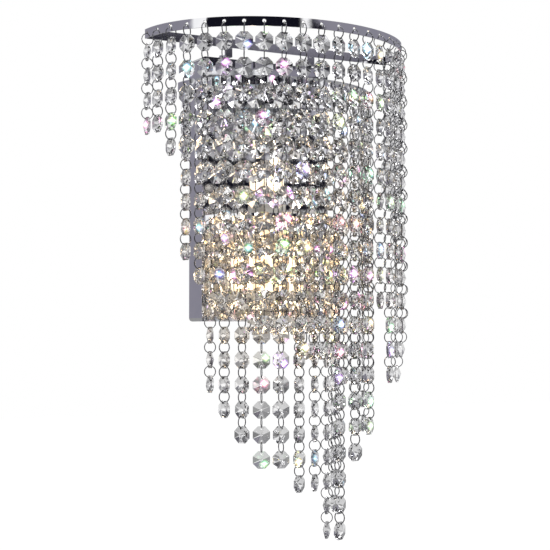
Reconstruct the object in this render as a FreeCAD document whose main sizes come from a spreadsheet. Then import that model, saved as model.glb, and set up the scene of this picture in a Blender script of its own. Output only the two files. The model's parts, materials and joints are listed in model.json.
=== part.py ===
"""Crystal wall sconce: a polished back box, three drilled bands and hanging octagon strands.

Frame: +Z up, the front faces -Y, the wall is the plane Y = 0. The origin is the middle of the
two wall fixing holes. All sizes are in millimetres.
"""
import FreeCAD, Part
import math
import os
import Sketcher

SIZES = [
    # back box, open towards the wall
    ("box_width", 122.0),
    ("box_height", 222.0),
    ("box_depth", 25.0),
    ("box_sheet", 1.0),
    ("box_corner", 3.0),
    # flat trim strip along the bottom of the box front
    ("trim_height", 7.5),
    ("trim_thick", 1.0),
    ("trim_screw_inset", 6.0),
    # drilled bands
    ("band_height", 7.5),
    ("band_thick", 1.0),
    ("bar_standoff", 8.0),
    ("bar_end_gap", 0.1),
    ("outer_half_width", 116.0),
    ("outer_reach", 98.0),
    ("outer_rise", 15.0),
    ("upper_half_width", 86.4),
    ("upper_reach", 70.6),
    ("upper_drop", 26.0),
    ("middle_inset", 1.0),
    ("middle_half_width", "=box_width / 2 - middle_inset"),
    ("middle_flattening", 4.0),
    ("middle_reach", "=middle_half_width - middle_flattening"),
    ("middle_drop", 134.0),
    ("foot_length", 11.0),
    # holes along the bands
    ("hole_radius", 1.5),
    ("hole_drop", 3.5),
    ("outer_pitch", 15.7),
    ("inner_pitch", 16.0),
    ("outer_margin", 2.0),
    ("inner_margin", 6.0),
    # brackets that carry the bands
    ("strap_width", 6.5),
    ("strap_thick", 1.5),
    ("strap_offset", 40.0),
    ("strap_foot", 17.0),
    # cut crystals and wire links
    ("crystal_width", 14.0),
    ("crystal_depth", 7.0),
    ("crystal_girdle", 1.6),
    ("crystal_hole_radius", 1.0),
    ("crystal_hole_edge", 1.925),
    ("link_radius", 4.775),
    ("wire_radius", 0.45),
    ("link_seat", 0.35),
    ("twist_limit", 5.0),
    # small screws
    ("screw_radius", 1.5),
    ("screw_length", 5.0),
    ("screw_head_radius", 2.75),
    ("screw_head_height", 1.8),
    ("recess_radius", 1.25),
    ("recess_depth", 1.1),
    ("screw_clearance", 0.2),
    # wall bracket and its screws
    ("bracket_width", 30.0),
    ("bracket_thick", 2.0),
    ("bracket_ear", 18.0),
    ("bracket_gap", 0.3),
    ("wall_hole_spacing", 140.0),
    ("wall_hole_radius", 2.5),
    # lamps, holders and their shelves
    ("shelf_width", 18.0),
    ("shelf_reach", 26.0),
    ("shelf_rise", 16.0),
    ("shelf_thick", 1.0),
    ("lower_shelf_height", 8.0),
    ("upper_shelf_height", 85.0),
    ("lamp_offset", 18.0),
    ("lamp_standoff", 16.0),
    ("holder_radius", 8.5),
    ("holder_height", 14.0),
    ("lamp_radius", 7.0),
    ("lamp_tip_radius", 6.0),
    ("lamp_length", 38.0),
    ("lamp_cap_height", 3.0),
    ("pin_radius", 0.5),
    ("pin_length", 6.0),
    ("pin_spacing", 9.0),
    ("pin_clearance", 0.2),
    # terminal block
    ("block_length", 30.0),
    ("block_height", 18.0),
    ("block_depth", 15.0),
    ("wire_way_radius", 2.0),
    ("clamp_screw_radius", 1.6),
    ("clamp_screw_depth", 6.0),
]

# How many crystals hang in each strand, from the left end of each band to its right end.
OUTER_CRYSTALS = [4, 4, 5, 5, 6, 8, 10, 12, 12, 13, 13, 20, 17, 16, 11, 14, 14, 13, 12, 10, 8, 6]
UPPER_CRYSTALS = [7, 8, 9, 9, 10, 10, 10, 11, 11, 12, 13, 14, 12, 10, 9]
MIDDLE_CRYSTALS = [7, 8, 9, 10, 10, 11, 11, 13, 12, 11]

OCTAGON_SIDES = 8
HEXAGON_SIDES = 6
HALF_TURN = 180.0
# Steps of the sine that turns each crystal a little, along a strand and from strand to strand.
TWIST_STEP = 2.4
TWIST_SHIFT = 1.7
UP = FreeCAD.Vector(0, 0, 1)
RIGHT = FreeCAD.Vector(1, 0, 0)
BACK = FreeCAD.Vector(0, 1, 0)

doc = FreeCAD.newDocument("crystal_wall_sconce")
sheet = doc.addObject("Spreadsheet::Sheet", "sizes")
for row, (alias, value) in enumerate(SIZES, start=1):
    sheet.set("A%d" % row, alias)
    sheet.set("B%d" % row, str(value))
    sheet.setAlias("B%d" % row, alias)
doc.recompute()


def size(alias):
    """A driving size, as a number."""
    return float(sheet.get(alias))


def bind(item, **expressions):
    """Tie properties of an object to the sheet; a double underscore stands for a dot."""
    for name, expression in expressions.items():
        item.setExpression(name.replace("__", "."), expression)
    return item


# ---------------------------------------------------------------- shared heights and planes

FRONT = "-sizes.box_depth"
BAR_PLANE = "-(sizes.box_depth + sizes.bar_standoff)"
BOX_TOP = "sizes.box_height / 2"
OUTER_BASE = BOX_TOP + " + sizes.outer_rise - sizes.band_height"
UPPER_BASE = BOX_TOP + " - sizes.upper_drop - sizes.band_height"
MIDDLE_BASE = BOX_TOP + " - sizes.middle_drop - sizes.band_height"

box_front = -size("box_depth")
bar_plane = box_front - size("bar_standoff")
box_top = size("box_height") / 2
outer_base = box_top + size("outer_rise") - size("band_height")
upper_base = box_top - size("upper_drop") - size("band_height")
middle_base = box_top - size("middle_drop") - size("band_height")
bar_rear = bar_plane + size("band_thick") / 2


# ---------------------------------------------------------------- shapes used more than once

def block(name, length, width, height, x, y, z):
    """A rectangular block whose sizes and corner are expressions."""
    box = doc.addObject("Part::Box", name)
    return bind(box, Length=length, Width=width, Height=height,
                Placement__Base__x=x, Placement__Base__y=y, Placement__Base__z=z)


def cut(label, base, tool):
    """The base with the tool taken away."""
    result = doc.addObject("Part::Cut", label)
    result.Base = base
    result.Tool = tool
    result.Label = label
    return result


def fuse(label, items):
    """Several touching shapes made into one piece."""
    result = doc.addObject("Part::MultiFuse", label)
    result.Shapes = items
    result.Refine = True
    result.Label = label
    return result


def feature(label, shape):
    """A piece whose shape is worked out from the sheet in this file."""
    item = doc.addObject("Part::Feature", label)
    item.Shape = shape
    item.Label = label
    return item


def frame_of(x_axis, z_axis, origin):
    """A placement whose local X and Z axes point along the given directions."""
    y_axis = z_axis.cross(x_axis)
    turn = FreeCAD.Rotation(x_axis, y_axis, z_axis, "ZXY")
    return FreeCAD.Placement(origin, turn)


def placed(shape, placement):
    """A copy of a shape, moved by a placement."""
    copy = shape.copy()
    copy.Placement = placement.multiply(copy.Placement)
    return copy


def origin_plane(body, role):
    """One of a body's own origin planes."""
    return next(item for item in body.Origin.OriginFeatures if item.Role == role)


def centred_rectangle(body, name, width, height, up_shift=None):
    """A rectangle sketch on the wall plane, centred on the origin or shifted up from it."""
    sketch = body.newObject("Sketcher::SketchObject", name)
    sketch.AttachmentSupport = [(origin_plane(body, "XZ_Plane"), "")]
    sketch.MapMode = "FlatFace"
    corners = [FreeCAD.Vector(x, z, 0) for x, z in ((-1, -1), (1, -1), (1, 1), (-1, 1))]
    for start, end in zip(corners, corners[1:] + corners[:1]):
        sketch.addGeometry(Part.LineSegment(start, end), False)
    for side in range(4):
        sketch.addConstraint(Sketcher.Constraint("Coincident", side, 2, (side + 1) % 4, 1))
    for side in (0, 2):
        sketch.addConstraint(Sketcher.Constraint("Horizontal", side))
        sketch.addConstraint(Sketcher.Constraint("Vertical", side + 1))
    sketch.addConstraint(Sketcher.Constraint("Symmetric", 0, 1, 1, 2, -1, 1))
    across = sketch.addConstraint(Sketcher.Constraint("DistanceX", 0, 1, 0, 2, 2.0))
    upward = sketch.addConstraint(Sketcher.Constraint("DistanceY", 1, 1, 1, 2, 2.0))
    sketch.setExpression("Constraints[%d]" % across, width)
    sketch.setExpression("Constraints[%d]" % upward, height)
    if up_shift:
        sketch.setExpression("AttachmentOffset.Base.y", up_shift)
    return sketch


def extrude(body, kind, name, sketch, length, backwards=False):
    """A pad or a pocket of a sketch on the wall plane, running towards the front."""
    step = body.newObject("PartDesign::" + kind, name)
    step.Profile = sketch
    step.setExpression("Length", length)
    step.Reversed = backwards
    return step


def edges_along(shape, direction):
    """Names of a shape's straight edges that run along a direction."""
    names = []
    for number, edge in enumerate(shape.Edges, start=1):
        run = edge.Vertexes[-1].Point - edge.Vertexes[0].Point
        if run.Length > 0 and abs(abs(run.normalize().dot(direction)) - 1) < 1e-6:
            names.append("Edge%d" % number)
    return names


# ---------------------------------------------------------------- places along a band

ARC_STEPS = 4000


def band_places(half_width, reach, pitch, margin):
    """Hole places along a half-elliptic band: (point, outward direction), left end first.

    The points lie on the middle of the strip, at equal steps of its length, and the row of
    holes is centred on the strip.
    """
    step = math.radians(HALF_TURN) / ARC_STEPS
    points = []
    travelled = [0.0]
    for index in range(ARC_STEPS + 1):
        angle = index * step
        points.append((-half_width * math.cos(angle), -reach * math.sin(angle)))
        if index:
            travelled.append(travelled[-1] + math.dist(points[-1], points[-2]))
    spare = travelled[-1] - 2 * margin
    count = int(spare // pitch) + 1
    first = (travelled[-1] - (count - 1) * pitch) / 2
    places = []
    index = 0
    for hole in range(count):
        target = first + hole * pitch
        while travelled[index + 1] < target:
            index += 1
        share = (target - travelled[index]) / (travelled[index + 1] - travelled[index])
        (x0, y0), (x1, y1) = points[index], points[index + 1]
        x, y = x0 + share * (x1 - x0), y0 + share * (y1 - y0)
        outward = FreeCAD.Vector(x / half_width ** 2, y / reach ** 2, 0).normalize()
        places.append((FreeCAD.Vector(x, y, 0), outward))
    return places


def hole_places(band, row, plane, base):
    """Hole centres on a band that starts at a plane and stands on a base height."""
    height = base + size("band_height") - size("hole_drop")
    shift = FreeCAD.Vector(0, plane, height)
    places = band_places(size(band + "_half_width"), size(band + "_reach"), size(row + "_pitch"),
                         size(row + "_margin"))
    return [(point + shift, outward) for point, outward in places]


outer_holes = hole_places("outer", "outer", bar_plane, outer_base)
upper_holes = hole_places("upper", "inner", bar_plane, upper_base)
middle_holes = hole_places("middle", "inner", box_front, middle_base)


# ---------------------------------------------------------------- screws and what they pass through

strap_seat = (box_front + bar_rear + size("strap_foot")) / 2
upper_bar_middle = upper_base + size("band_height") / 2
middle_band_middle = middle_base + size("band_height") / 2
foot_middle = size("middle_half_width") - size("foot_length") / 2
trim_middle = -box_top + size("trim_height") / 2
shelf_heights = (-box_top + size("lower_shelf_height"), -box_top + size("upper_shelf_height"))
lamp_places = [(-size("lamp_offset"), shelf_heights[0]), (size("lamp_offset"), shelf_heights[0]),
               (0.0, shelf_heights[1])]
ear_middle = -(size("bracket_thick") + size("bracket_ear")) / 2
front = -BACK


def screw_seats():
    """Where each small screw's head sits: (point, direction out of the head, shank length)."""
    short = size("screw_length")
    long = size("bar_standoff") + 2 * size("box_sheet") + size("band_thick")
    seats = []
    for side in (-1, 1):
        strap_x = side * size("strap_offset")
        trim_x = side * (size("box_width") / 2 - size("trim_screw_inset"))
        seats += [
            (FreeCAD.Vector(strap_x, strap_seat, box_top + size("strap_thick")), UP, short),
            (FreeCAD.Vector(strap_x, bar_plane - size("band_thick") / 2, upper_bar_middle), front, long),
            (FreeCAD.Vector(side * foot_middle, box_front - size("band_thick"), middle_band_middle),
             front, short),
            (FreeCAD.Vector(trim_x, box_front - size("trim_thick"), trim_middle), front, short),
            (FreeCAD.Vector(0, ear_middle, side * box_top), UP * side, short),
        ]
    for x, shelf in lamp_places:
        height = shelf + (size("shelf_rise") + size("shelf_thick")) / 2
        seats.append((FreeCAD.Vector(x, box_front - size("shelf_thick"), height), front, short))
    return seats


def screw(point, direction, length):
    """A pan-head screw with a hexagon recess, its head seated at the point."""
    head = Part.makeCylinder(size("screw_head_radius"), size("screw_head_height"), point, direction)
    rim = [edge for edge in head.Edges if edge.Closed
           and (edge.CenterOfMass - point).dot(direction) > size("screw_head_height") / 2]
    head = head.makeFillet(size("screw_head_height") / 2, rim)
    shank = Part.makeCylinder(size("screw_radius"), length, point, -direction)
    floor = point + direction * (size("screw_head_height") - size("recess_depth"))
    turns = [FreeCAD.Rotation(direction, side * 2 * HALF_TURN / HEXAGON_SIDES)
             for side in range(HEXAGON_SIDES + 1)]
    corner = RIGHT * size("recess_radius")
    hexagon = Part.makePolygon([floor + turn.multVec(corner) for turn in turns])
    recess = Part.Face(hexagon).extrude(direction * (2 * size("recess_depth")))
    return head.fuse(shank).cut(recess).removeSplitter()


def drill(point, direction, length):
    """The clearance hole of a screw, through everything that it holds together."""
    radius = size("screw_radius") + size("screw_clearance")
    reach = length + size("box_sheet")
    return Part.makeCylinder(radius, reach, point, -direction)


screws = feature("screws", Part.makeCompound([screw(*seat) for seat in screw_seats()]))
drills = feature("screw_drills", Part.makeCompound([drill(*seat) for seat in screw_seats()]))


# ---------------------------------------------------------------- back box, trim and wall bracket

def make_back_box():
    """The polished steel box, a folded tray open towards the wall."""
    body = doc.addObject("PartDesign::Body", "box_body")
    face = centred_rectangle(body, "box_face", "sizes.box_width", "sizes.box_height")
    extrude(body, "Pad", "box_pad", face, "sizes.box_depth")
    doc.recompute()
    corners = body.newObject("PartDesign::Fillet", "box_corners")
    corners.Base = (body.getObject("box_pad"), edges_along(body.getObject("box_pad").Shape, BACK))
    corners.setExpression("Radius", "sizes.box_corner")
    doc.recompute()
    inside = centred_rectangle(body, "box_inside", "sizes.box_width - 2 * sizes.box_sheet",
                               "sizes.box_height - 2 * sizes.box_sheet")
    extrude(body, "Pocket", "box_hollow", inside, "sizes.box_depth - sizes.box_sheet", True)
    doc.recompute()
    lead_ways = Part.makeCompound([
        Part.makeCylinder(size("wire_way_radius"), 3 * size("box_sheet"),
                          FreeCAD.Vector(x, box_front - size("box_sheet"),
                                         shelf + size("shelf_rise") + 2 * size("wire_way_radius")), BACK)
        for x, shelf in lamp_places])
    drilled = cut("box_drilled", body, drills)
    return cut("back_box", drilled, feature("lead_ways", lead_ways))


def make_bottom_trim():
    """The flat strip along the lower edge of the box front."""
    strip = block("trim_strip", "sizes.box_width", "sizes.trim_thick", "sizes.trim_height",
                  "-sizes.box_width / 2", FRONT + " - sizes.trim_thick", "-sizes.box_height / 2")
    return cut("bottom_trim", strip, drills)


def make_wall_bracket():
    """The strap screwed to the wall, with an ear at each end that takes the box screws."""
    body = doc.addObject("PartDesign::Body", "bracket_body")
    length = "sizes.box_height - 2 * sizes.box_sheet - 2 * sizes.bracket_gap"
    plate = centred_rectangle(body, "bracket_plate", "sizes.bracket_width", length)
    extrude(body, "Pad", "bracket_pad", plate, "sizes.bracket_thick")
    for name, sign in (("upper", "1"), ("lower", "-1")):
        shift = "%s * (%s - sizes.bracket_thick) / 2" % (sign, length.join("()"))
        ear = centred_rectangle(body, name + "_ear", "sizes.bracket_width", "sizes.bracket_thick", shift)
        extrude(body, "Pad", name + "_ear_pad", ear, "sizes.bracket_ear")
    doc.recompute()
    wall_holes = []
    depth = 3 * size("bracket_thick")
    for side in (-1, 1):
        start = FreeCAD.Vector(0, size("bracket_thick"), side * size("wall_hole_spacing") / 2)
        wall_holes.append(Part.makeCylinder(size("wall_hole_radius"), depth, start, front))
    drilled = cut("bracket_drilled", body, drills)
    return cut("wall_bracket", drilled, feature("wall_holes", Part.makeCompound(wall_holes)))


def make_terminal_block():
    """A three-way terminal block on the wall bracket, with its wire ways and clamp screw holes."""
    body = block("terminal_body", "sizes.block_length", "sizes.block_depth", "sizes.block_height",
                 "-sizes.block_length / 2", "-sizes.bracket_thick - sizes.block_depth",
                 "-sizes.block_height / 2")
    face = -size("bracket_thick") - size("block_depth")
    way = face + size("clamp_screw_depth") + size("wire_way_radius")
    height = size("block_height")
    ways = []
    for pole in (-1, 0, 1):
        x = pole * size("block_length") / 3
        ways.append(Part.makeCylinder(size("wire_way_radius"), 2 * height,
                                      FreeCAD.Vector(x, way, -height), UP))
        for row in (-1, 1):
            ways.append(Part.makeCylinder(size("clamp_screw_radius"), size("clamp_screw_depth"),
                                          FreeCAD.Vector(x, face, row * height / 4), BACK))
    return cut("terminal_block", body, feature("terminal_ways", Part.makeCompound(ways)))


# ---------------------------------------------------------------- bands, bars and brackets

def elliptic_block(name, half_width, reach, plane, base):
    """An elliptic block as high as a band."""
    edge = doc.addObject("Part::Ellipse", name + "_edge")
    bind(edge, MajorRadius=half_width, MinorRadius=reach, Placement__Base__y=plane, Placement__Base__z=base)
    solid = doc.addObject("Part::Extrusion", name)
    solid.Base = edge
    solid.DirMode = "Custom"
    solid.Dir = UP
    solid.Solid = True
    return bind(solid, LengthFwd="sizes.band_height")


def make_strip(name, half_width, reach, plane, base, rear):
    """A half-elliptic strip of even height, cut off square at its rear plane."""
    half = " + sizes.band_thick / 2"
    less = " - sizes.band_thick / 2"
    outside = elliptic_block(name + "_outside", half_width + half, reach + half, plane, base)
    inside = elliptic_block(name + "_inside", half_width + less, reach + less, plane, base)
    ring = cut(name + "_ring", outside, inside)
    wide = "2 * " + half_width + " + 4 * sizes.band_thick"
    behind = block(name + "_behind", wide, reach + " + 2 * sizes.band_thick", "3 * sizes.band_height",
                   "-" + half_width + " - 2 * sizes.band_thick", rear, base + " - sizes.band_height")
    return cut(name + "_strip", ring, behind)


def band_holes(name, holes):
    """Drills for the row of holes along a band."""
    length = 6 * size("band_thick")
    return feature(name, Part.makeCompound([
        Part.makeCylinder(size("hole_radius"), length, point + outward * (length / 2), -outward)
        for point, outward in holes]))


def make_middle_band():
    """The middle band, with a foot folded in at each end that lies on the box front."""
    strip = make_strip("middle", "sizes.middle_half_width", "sizes.middle_reach", FRONT, MIDDLE_BASE, FRONT)
    drilled = cut("middle_drilled", strip, band_holes("middle_hole_row", middle_holes))
    left = block("middle_left_foot", "sizes.foot_length", "sizes.band_thick", "sizes.band_height",
                 "-sizes.middle_half_width", FRONT + " - sizes.band_thick", MIDDLE_BASE)
    right = block("middle_right_foot", "sizes.foot_length", "sizes.band_thick", "sizes.band_height",
                  "sizes.middle_half_width - sizes.foot_length", FRONT + " - sizes.band_thick", MIDDLE_BASE)
    return cut("middle_band", fuse("middle_footed", [drilled, left, right]), drills)


def make_back_bars():
    """The straight bars that close the outer and the upper band behind."""
    bars = []
    for name, half_width, base in (("outer", "sizes.outer_half_width", OUTER_BASE),
                                   ("upper", "sizes.upper_half_width", UPPER_BASE)):
        inner = half_width + " - sizes.band_thick / 2 - sizes.bar_end_gap"
        bars.append(block(name + "_bar", "2 * (" + inner + ")", "sizes.band_thick", "sizes.band_height",
                          "-(" + inner + ")", BAR_PLANE + " - sizes.band_thick / 2", base))
    pair = doc.addObject("Part::Compound", "bar_pair")
    pair.Links = bars
    return cut("back_bars", pair, drills)


def make_band_brackets():
    """Two straps that hold the outer bar above the box, and two blocks behind the upper bar."""
    rear = BAR_PLANE + " + sizes.band_thick / 2"
    pieces = []
    for name, sign in (("left", "-1"), ("right", "1")):
        x = sign + " * sizes.strap_offset - sizes.strap_width / 2"
        upright = block(name + "_upright", "sizes.strap_width", "sizes.strap_thick", "sizes.outer_rise",
                        x, rear, BOX_TOP)
        foot = block(name + "_foot", "sizes.strap_width", "sizes.strap_foot", "sizes.strap_thick",
                     x, rear, BOX_TOP)
        pieces.append(fuse(name + "_strap", [upright, foot]))
        pieces.append(block(name + "_block", "sizes.strap_width",
                            "sizes.bar_standoff - sizes.band_thick / 2", "sizes.band_height",
                            x, rear, UPPER_BASE))
    group = doc.addObject("Part::Compound", "bracket_group")
    group.Links = pieces
    return cut("band_brackets", group, drills)


# ---------------------------------------------------------------- lamps, holders and shelves

def holder_place(x, shelf):
    """The middle of a lamp holder's underside."""
    return FreeCAD.Vector(x, box_front - size("lamp_standoff"), shelf + size("shelf_thick"))


def pin_points(base):
    """The two pin places of a lamp above or below a point."""
    return [base + RIGHT * (side * size("pin_spacing") / 2) for side in (-1, 1)]


def make_shelf(x, shelf):
    """An angle bracket: one leg on the box front, the other carries a lamp holder."""
    left = x - size("shelf_width") / 2
    reach_y = box_front - size("shelf_reach")
    flat = Part.makeBox(size("shelf_width"), size("shelf_reach"), size("shelf_thick"),
                        FreeCAD.Vector(left, reach_y, shelf))
    leg = Part.makeBox(size("shelf_width"), size("shelf_thick"), size("shelf_rise"),
                       FreeCAD.Vector(left, box_front - size("shelf_thick"), shelf))
    return flat.fuse(leg).removeSplitter()


def make_holder(x, shelf):
    """A round ceramic holder with two pin holes."""
    base = holder_place(x, shelf)
    body = Part.makeCylinder(size("holder_radius"), size("holder_height"), base)
    depth = size("pin_length") + size("pin_clearance")
    top = base + UP * size("holder_height")
    for point in pin_points(top):
        body = body.cut(Part.makeCylinder(size("pin_radius") + size("pin_clearance"), depth, point, -UP))
    return body


def make_lamp(x, shelf):
    """A clear capsule lamp with a flat cap and two pins in the holder."""
    top = holder_place(x, shelf) + UP * size("holder_height")
    cap = Part.makeCylinder(size("lamp_radius") - size("lamp_cap_height") / 3, size("lamp_cap_height"), top)
    start = top + UP * size("lamp_cap_height")
    glass = Part.makeCylinder(size("lamp_radius"), size("lamp_length") - size("lamp_cap_height"), start)
    middle = start.z + size("lamp_radius")
    tip = [edge for edge in glass.Edges if edge.Closed and edge.CenterOfMass.z > middle]
    glass = glass.makeFillet(size("lamp_tip_radius"), tip)
    pins = [Part.makeCylinder(size("pin_radius"), size("pin_length"), point, -UP)
            for point in pin_points(top)]
    return cap.multiFuse([glass] + pins).removeSplitter()


# ---------------------------------------------------------------- crystals, links and strands

def make_crystal():
    """One cut octagon lying in its own XY plane, with a hole near its top and bottom edges."""
    flat_radius = size("crystal_width") / 2
    corner_radius = flat_radius / math.cos(math.pi / OCTAGON_SIDES)
    corners = []
    for corner in range(OCTAGON_SIDES):
        angle = (2 * corner + 1) * math.pi / OCTAGON_SIDES
        corners.append((corner_radius * math.cos(angle), corner_radius * math.sin(angle)))
    faces = []
    for index in range(OCTAGON_SIDES):
        (x0, y0), (x1, y1) = corners[index], corners[(index + 1) % OCTAGON_SIDES]
        rim = {}
        for side in (-1, 1):
            z = side * size("crystal_girdle") / 2
            rim[side] = (FreeCAD.Vector(x0, y0, z), FreeCAD.Vector(x1, y1, z))
            apex = FreeCAD.Vector(0, 0, side * size("crystal_depth") / 2)
            faces.append(Part.Face(Part.makePolygon([rim[side][0], rim[side][1], apex, rim[side][0]])))
        girdle = [rim[-1][0], rim[-1][1], rim[1][1], rim[1][0], rim[-1][0]]
        faces.append(Part.Face(Part.makePolygon(girdle)))
    gem = Part.makeSolid(Part.makeShell(faces))
    gem.fix(1e-6, 1e-6, 1e-6)
    for side in (-1, 1):
        centre = FreeCAD.Vector(0, side * (flat_radius - size("crystal_hole_edge")), -size("crystal_depth"))
        gem = gem.cut(Part.makeCylinder(size("crystal_hole_radius"), 2 * size("crystal_depth"), centre))
    return gem


link_torus = doc.addObject("Part::Torus", "link_torus")
bind(link_torus, Radius1="sizes.link_radius", Radius2="sizes.wire_radius")
doc.recompute()

crystal_shape = make_crystal()
link_shape = link_torus.Shape
# A wire that rests on the edge of a hole is this far from the hole's middle.
band_seat = size("hole_radius") - size("wire_radius") - size("link_seat")
gem_seat = size("crystal_hole_radius") - size("wire_radius") - size("link_seat")
hole_to_hole = size("crystal_width") - 2 * size("crystal_hole_edge")


def strand_pivot(hole):
    """The point that a strand swings about: the wire's middle, inside the band's hole."""
    return hole - UP * band_seat


def make_strand(place, count, phase):
    """A strand of links and crystals hanging from one hole; each crystal is turned a little."""
    hole, outward = place
    across = UP.cross(outward)
    height = strand_pivot(hole)
    pieces = []
    for number in range(count):
        link_centre = height - UP * size("link_radius")
        pieces.append(placed(link_shape, frame_of(outward, across, link_centre)))
        wire_low = height - UP * (2 * size("link_radius"))
        gem_centre = wire_low - UP * (gem_seat + hole_to_hole / 2)
        twist = size("twist_limit") * math.sin(TWIST_STEP * number + phase)
        facing = FreeCAD.Rotation(UP, twist).multVec(outward)
        pieces.append(placed(crystal_shape, frame_of(UP.cross(facing), facing, gem_centre)))
        height = gem_centre - UP * (hole_to_hole / 2 + gem_seat)
    return Part.makeCompound(pieces)


def make_strands(label, holes, counts):
    """All strands of one band; each is a piece of its own that swings by itself."""
    strands = []
    for number, (place, count) in enumerate(zip(holes, counts), start=1):
        shape = make_strand(place, count, TWIST_SHIFT * number)
        strands.append(feature("%s_strand_%02d" % (label, number), shape))
    return strands


# ---------------------------------------------------------------- the assembly

outer_strip = make_strip("outer", "sizes.outer_half_width", "sizes.outer_reach", BAR_PLANE, OUTER_BASE,
                         BAR_PLANE + " + sizes.band_thick / 2")
upper_strip = make_strip("upper", "sizes.upper_half_width", "sizes.upper_reach", BAR_PLANE, UPPER_BASE,
                         BAR_PLANE + " + sizes.band_thick / 2")
shelves = Part.makeCompound([make_shelf(*place) for place in lamp_places])
pieces = [
    make_back_box(),
    make_bottom_trim(),
    make_wall_bracket(),
    make_terminal_block(),
    screws,
    cut("outer_band", outer_strip, band_holes("outer_hole_row", outer_holes)),
    cut("upper_band", upper_strip, band_holes("upper_hole_row", upper_holes)),
    make_middle_band(),
    make_back_bars(),
    make_band_brackets(),
    cut("lamp_shelves", feature("shelf_blanks", shelves), drills),
    feature("lamp_holders", Part.makeCompound([make_holder(*place) for place in lamp_places])),
    feature("lamps", Part.makeCompound([make_lamp(*place) for place in lamp_places])),
]
pieces += make_strands("outer", outer_holes, OUTER_CRYSTALS)
pieces += make_strands("upper", upper_holes, UPPER_CRYSTALS)
pieces += make_strands("middle", middle_holes, MIDDLE_CRYSTALS)
doc.recompute()

for item in doc.Objects:
    if "Invalid" in item.State or "Error" in item.State:
        raise RuntimeError("%s did not build: %s" % (item.Label, item.State))
for piece in pieces:
    if piece.Shape.isNull() or not piece.Shape.isValid() or not piece.Shape.Solids:
        raise RuntimeError("%s has no valid shape" % piece.Label)

os.makedirs("parts", exist_ok=True)
for piece in pieces:
    piece.Shape.exportStep("parts/%s.step" % piece.Label)
    print("%-20s %3d solids %12.1f mm3" % (piece.Label, len(piece.Shape.Solids), piece.Shape.Volume))
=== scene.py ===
"""Dresses the crystal wall sconce: polished bands, cut octagon strands, lamps and the studio.

Everything is in metres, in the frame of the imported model: +Z up, the front faces -Y and the
wall is the plane Y = 0. Places come from the frame's own nodes and joints.
"""
import json
import logging
import math
from dataclasses import dataclass
from enum import Enum
from typing import Any

import bmesh
import bpy
from mathutils import Matrix, Vector

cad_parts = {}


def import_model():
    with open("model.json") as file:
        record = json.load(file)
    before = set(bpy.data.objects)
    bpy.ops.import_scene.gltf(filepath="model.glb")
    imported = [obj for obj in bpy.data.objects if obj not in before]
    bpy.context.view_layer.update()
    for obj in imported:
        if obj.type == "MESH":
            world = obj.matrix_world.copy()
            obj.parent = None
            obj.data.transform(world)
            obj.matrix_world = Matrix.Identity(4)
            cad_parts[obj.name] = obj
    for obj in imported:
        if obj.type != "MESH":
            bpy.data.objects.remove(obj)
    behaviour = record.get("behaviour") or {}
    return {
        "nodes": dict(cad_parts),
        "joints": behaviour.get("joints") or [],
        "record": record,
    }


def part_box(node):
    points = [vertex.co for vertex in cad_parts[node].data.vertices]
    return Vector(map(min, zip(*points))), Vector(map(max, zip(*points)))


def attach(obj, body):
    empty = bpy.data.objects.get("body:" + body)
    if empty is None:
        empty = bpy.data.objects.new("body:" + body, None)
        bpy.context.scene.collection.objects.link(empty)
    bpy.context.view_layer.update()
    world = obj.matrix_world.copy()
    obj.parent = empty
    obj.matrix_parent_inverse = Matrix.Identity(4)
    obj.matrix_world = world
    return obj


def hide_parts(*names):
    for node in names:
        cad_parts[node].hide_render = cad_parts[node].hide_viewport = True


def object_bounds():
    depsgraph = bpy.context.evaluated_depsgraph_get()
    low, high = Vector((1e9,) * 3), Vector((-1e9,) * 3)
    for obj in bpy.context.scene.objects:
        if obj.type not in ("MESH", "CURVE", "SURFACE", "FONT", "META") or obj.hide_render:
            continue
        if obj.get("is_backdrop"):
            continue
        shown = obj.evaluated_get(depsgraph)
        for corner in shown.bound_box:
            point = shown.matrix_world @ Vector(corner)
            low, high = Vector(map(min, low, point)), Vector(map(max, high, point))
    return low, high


LOG = logging.getLogger("sconce")
MM = 0.001
Point = tuple[float, float, float]
Colour = tuple[float, float, float]
Stops = tuple[tuple[float, Colour], ...]
HIDDEN: Colour = (0.0, 0.0, 0.0)
SHOWN: Colour = (1.0, 1.0, 1.0)
MARK_DEPTH = 0.2 * MM


# ---------------------------------------------------------------- node trees

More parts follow.
